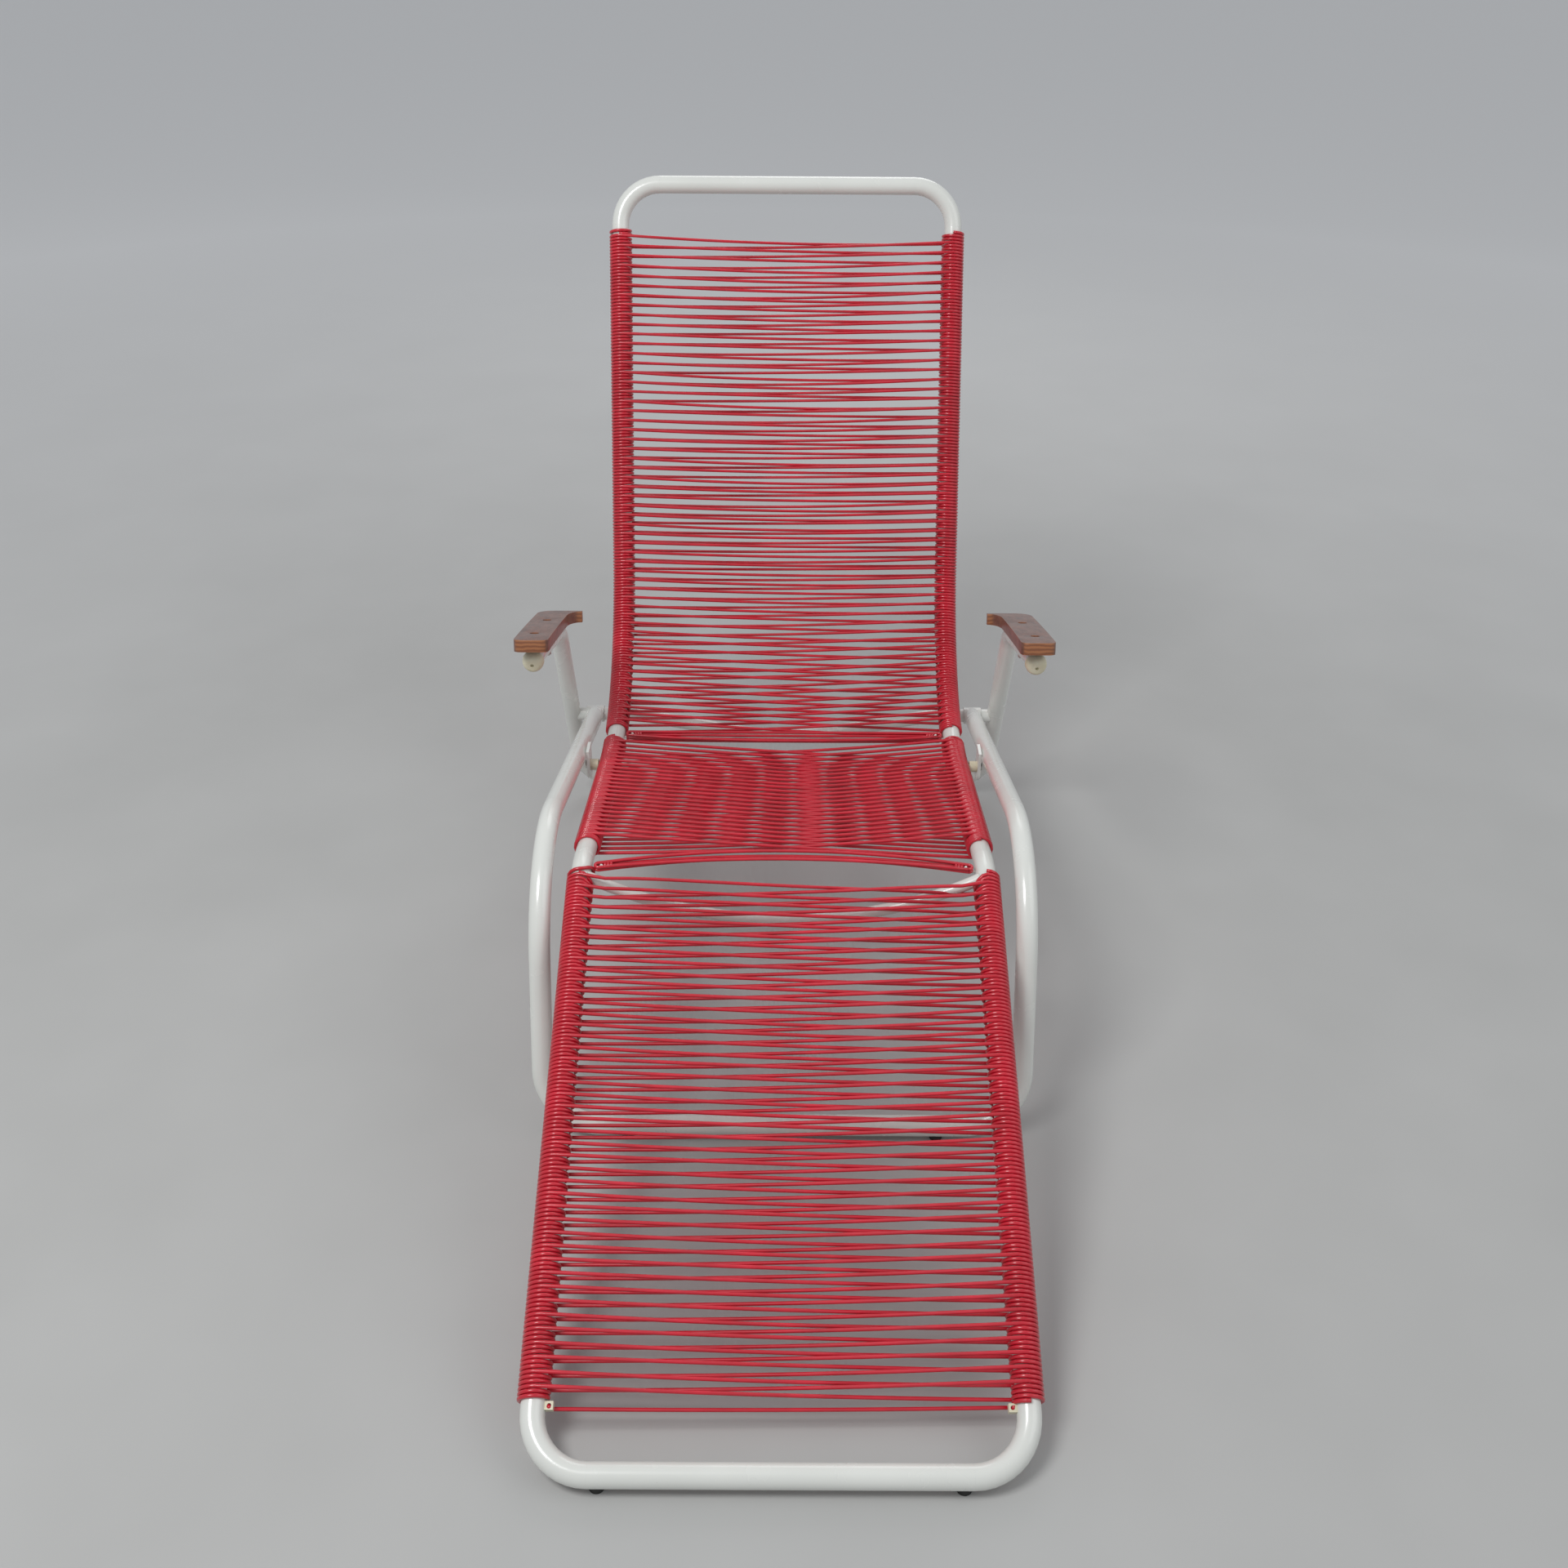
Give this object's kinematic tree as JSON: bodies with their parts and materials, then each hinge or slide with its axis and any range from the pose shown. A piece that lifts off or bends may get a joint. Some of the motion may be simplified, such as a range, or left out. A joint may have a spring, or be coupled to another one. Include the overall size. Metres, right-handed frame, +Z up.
{
  "type": "folding deck chair",
  "caption": "Reclining folding garden lounger: a white bent steel tube frame wound with red cord, hung between two hinged tube leg frames with curved wooden armrests.",
  "frame": {"origin": "on the floor, midway between the foot bar and the top bar, in the middle plane", "axes": "+Z up, +Y toward the head end, -Y toward the foot end, +X to the right seen from the foot end"},
  "size_m": [0.7552, 1.6438, 0.9818],
  "materials": {
    "white_enamel": "glossy off-white enamel, slightly yellowed",
    "red_cord": "glossy solid PVC cord",
    "varnished_wood": "satin red-brown varnish, end grain lighter and more orange",
    "cream_plastic": "satin aged cream plastic",
    "black_rubber": "matt black rubber",
    "zinc_plate": "dull zinc plate"
  },
  "bodies": {
    "front_base": {"front_leg_frame": "white_enamel", "fold_sleeves": "white_enamel", "hanger_plate_left": "white_enamel", "hanger_plate_right": "white_enamel", "pivot_bolts": "zinc_plate", "pivot_sleeves": "cream_plastic", "pivot_washers": "zinc_plate", "pivot_nuts": "zinc_plate", "front_feet": "black_rubber"},
    "lounge": {"lounge_frame": "white_enamel", "front_bow_bar": "white_enamel", "string_hooks": "white_enamel", "string_clips": "cream_plastic", "back_strings": "red_cord", "seat_strings": "red_cord", "leg_strings": "red_cord", "lounge_feet": "black_rubber"},
    "rear_base": {"rear_crossbar": "white_enamel", "rear_leg_frame": "white_enamel", "arm_end_cap_left": "cream_plastic", "arm_end_cap_right": "cream_plastic", "armrest_left": "varnished_wood", "armrest_right": "varnished_wood", "armrest_screws": "zinc_plate", "armrest_nuts": "zinc_plate", "rear_feet": "black_rubber"}
  },
  "joints": [
    {"name": "lounge_tilt", "type": "hinge", "parent": "front_base", "child": "lounge", "pos_m": [0, 0.23416, 0.24125], "axis": [-1, 0, 0], "range_deg": [0, 11]},
    {"name": "base_fold", "type": "hinge", "parent": "front_base", "child": "rear_base", "pos_m": [0, 0.46323, 0.19785], "axis": [-1, 0, 0], "range_deg": [0, 95]}
  ]
}
